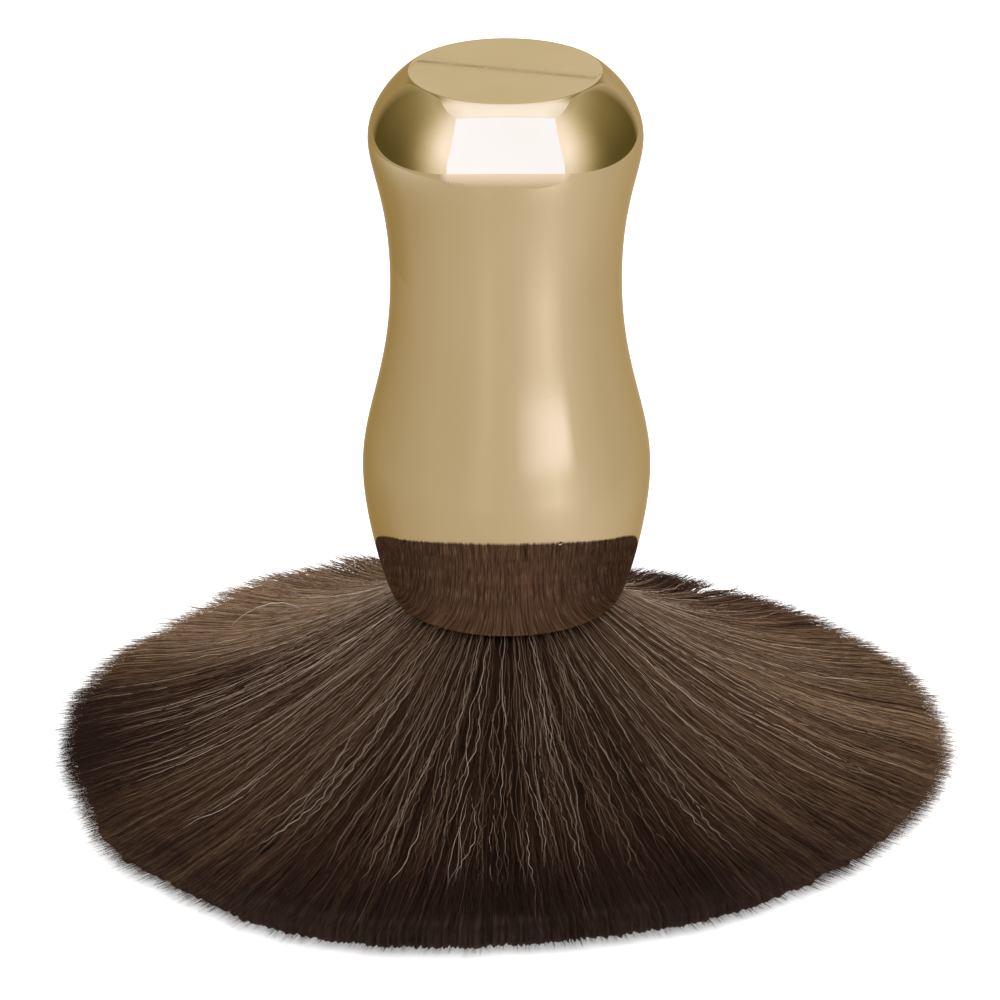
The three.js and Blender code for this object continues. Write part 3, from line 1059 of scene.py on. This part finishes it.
def ceiling_shade(tree, x, y, z):
    """Cream, warmer towards the back and the sides, with a faint dark line along the window's light."""
    back = rise(tree, y, -60 * MM, 110 * MM)
    shade = ramp(tree, back, (0.0, (0.745, 0.82, 1.0, 1)), (0.35, (0.72, 0.74, 0.95, 1)),
                 (0.6, (0.6, 0.57, 0.55, 1)), (1.0, (0.3, 0.26, 0.16, 1)))
    bow = times(tree, x, x, LIGHT_EDGE["bow"] / CEILING_HALF**2)
    line = hump(tree, calc(tree, "SUBTRACT", y, bow), LIGHT_EDGE["y"], 3 * MM)
    shade = mix(tree, times(tree, line, 0.7), shade, (0.55, 0.54, 0.52, 1))
    aside = size_of(tree, x)
    shade = mix(tree, spread(tree, aside, 0.0, 0.5, 85 * MM, CEILING_HALF), shade, (0.5, 0.47, 0.4, 1))
    corner = times(tree, rise(tree, aside, 85 * MM, 115 * MM), rise(tree, y, 15 * MM, 75 * MM))
    return mix(tree, corner, shade, (0.17, 0.145, 0.06, 1))


def bowl_surface(across, up):
    """A floor from just past the bristles out to the bowl's foot, then a wall."""
    r = np.interp(up, (0, 0.5, 0.7, 1), (70 * MM, BOWL_R - 60 * MM, BOWL_R, BOWL_R))
    z = np.interp(up, (0, 0.5, 0.7, 1), (0.5 * MM, 0.5 * MM, 60 * MM, 850 * MM))
    return round_point(across * 180, r, z)


def line_surface(across, up):
    """A thin bar behind the handle, which draws a fine slanting line across the end flat."""
    x = across * 26 * MM
    return x, 70 * MM + 0 * x, 149.1 * MM + 0.106 * x + (up - 0.5) * 0.32 * MM


def build_cards():
    """All that the polished handle mirrors, apart from the brush itself."""
    window = glow("window_glow", (1.49, 1.75, 2.63, 1))
    wall = shaded_glow("wall_glow", wall_shade)
    card("window_card", window_surface, 16, 24, window)
    card("window_top_card", window_top_surface, 4, 24, window)
    card("ceiling_card", ceiling_surface, 4, 24, shaded_glow("ceiling_glow", ceiling_shade))
    card("left_wall_card", wall_surface(-1), 20, 60, wall)
    card("right_wall_card", wall_surface(1), 20, 60, wall)
    card("skirt_card", skirt_surface, 6, 40, shaded_glow("skirt_glow", skirt_shade))
    card("side_skirt_card", side_skirt_surface, 8, 40, shaded_glow("side_skirt_glow", side_skirt_shade))
    card("fringe_card", fringe_surface, 40, 120, shaded_glow("fringe_glow", fringe_shade))
    card("line_card", line_surface, 1, 4, glow("line_glow", (0.44, 0.38, 0.30, 1)))
    card("bowl_card", bowl_surface, 40, 120, shaded_glow("bowl_glow", bowl_shade))


def build_floor():
    """A plain pale floor."""
    half = 20
    corners = [(-half, -half, 0), (half, -half, 0), (half, half, 0), (-half, half, 0)]
    floor = mesh_from("floor", corners, [[0, 1, 2, 3]], [])
    glowing = dict(Emission_Color=(1, 1, 1, 1), Emission_Strength=0.35)  # so that it comes out white
    material, tree, shader = new_material("pale_floor", Roughness=0.9, Specular_IOR_Level=0.1, **glowing)
    grain = noise(tree, place(tree), 40, 2)
    feed(shader, ramp(tree, grain, (0.3, (0.9, 0.9, 0.9, 1)), (0.7, (0.92, 0.92, 0.92, 1))))
    floor.data.materials.append(material)


def build_world():
    """White all round, strong enough that the floor is white but for the shade close to the brush."""
    world = bpy.data.worlds.new("studio")
    bpy.context.scene.world = world
    world.use_nodes = True
    tree = world.node_tree
    tree.nodes.clear()
    light = node(tree, "Background", {"Color": (1, 1, 1, 1), "Strength": 1.35})
    node(tree, "OutputWorld", {"Surface": light.outputs["Background"]})


def build_key_light():
    """A soft light from the back right that the polished gold doesn't show."""
    data = bpy.data.lights.new("key_softbox", "AREA")
    data.shape = "RECTANGLE"
    data.size, data.size_y = 0.6, 0.6
    data.energy = 6
    light = add_object("key_softbox", data)
    light.location = (0.9, 0.7, 0.9)
    light.rotation_euler = (-light.location).to_track_quat("-Z", "Y").to_euler()
    light.visible_glossy = False


def build_camera():
    """From the front, looking down at 23 degrees through a long lens, and rolled by a fifth of a degree."""
    data = bpy.data.cameras.new("camera")
    data.lens = 278.8
    data.sensor_width = 36
    camera = add_object("camera", data)
    aim = Vector((-1.13 * MM, 0, 47.74 * MM))
    camera.location = (aim.x, -1.2, 0.553)
    level = (aim - camera.location).to_track_quat("-Z", "Y")
    camera.rotation_euler = (level @ Quaternion((0, 0, 1), math.radians(-0.2))).to_euler()
    bpy.context.scene.camera = camera


# --- Scene ---

build_camera()
build_world()
build_key_light()
build_floor()
build_cards()

build_handle()
dress_hidden_pieces()
build_weight_pad()

mass = bristle_mass()
for lock_number in range(1, LOCK_COUNT + 1):
    build_lock_mat(lock_number, mass)
build_bundles(mass)

BROWNS = [(37, 22, 14), (57, 36, 25), (87, 62, 45), (117, 90, 67), (170, 140, 110)]
PALES = [(108, 83, 64), (150, 124, 101), (196, 172, 151), (240, 223, 206)]
# Both fibres get painted shade at their roots by the mouth, and the brown ones on the front rim as well.
brown = fibre("brown_fibre", BROWNS, (48, 33, 28), (0.34, 0.6), (0.2, 1.25), 0.6, 0.08)
pale = fibre("pale_fibre", PALES, (84, 62, 49), (1.0, 1.1), (0.8, 0.4), 0.45, 0.2)
build_fibres(brown)
build_tips(brown)
build_pale_fibres(pale)
build_loose_fibre(pale)

scene = bpy.context.scene
scene.view_settings.view_transform = "Standard"
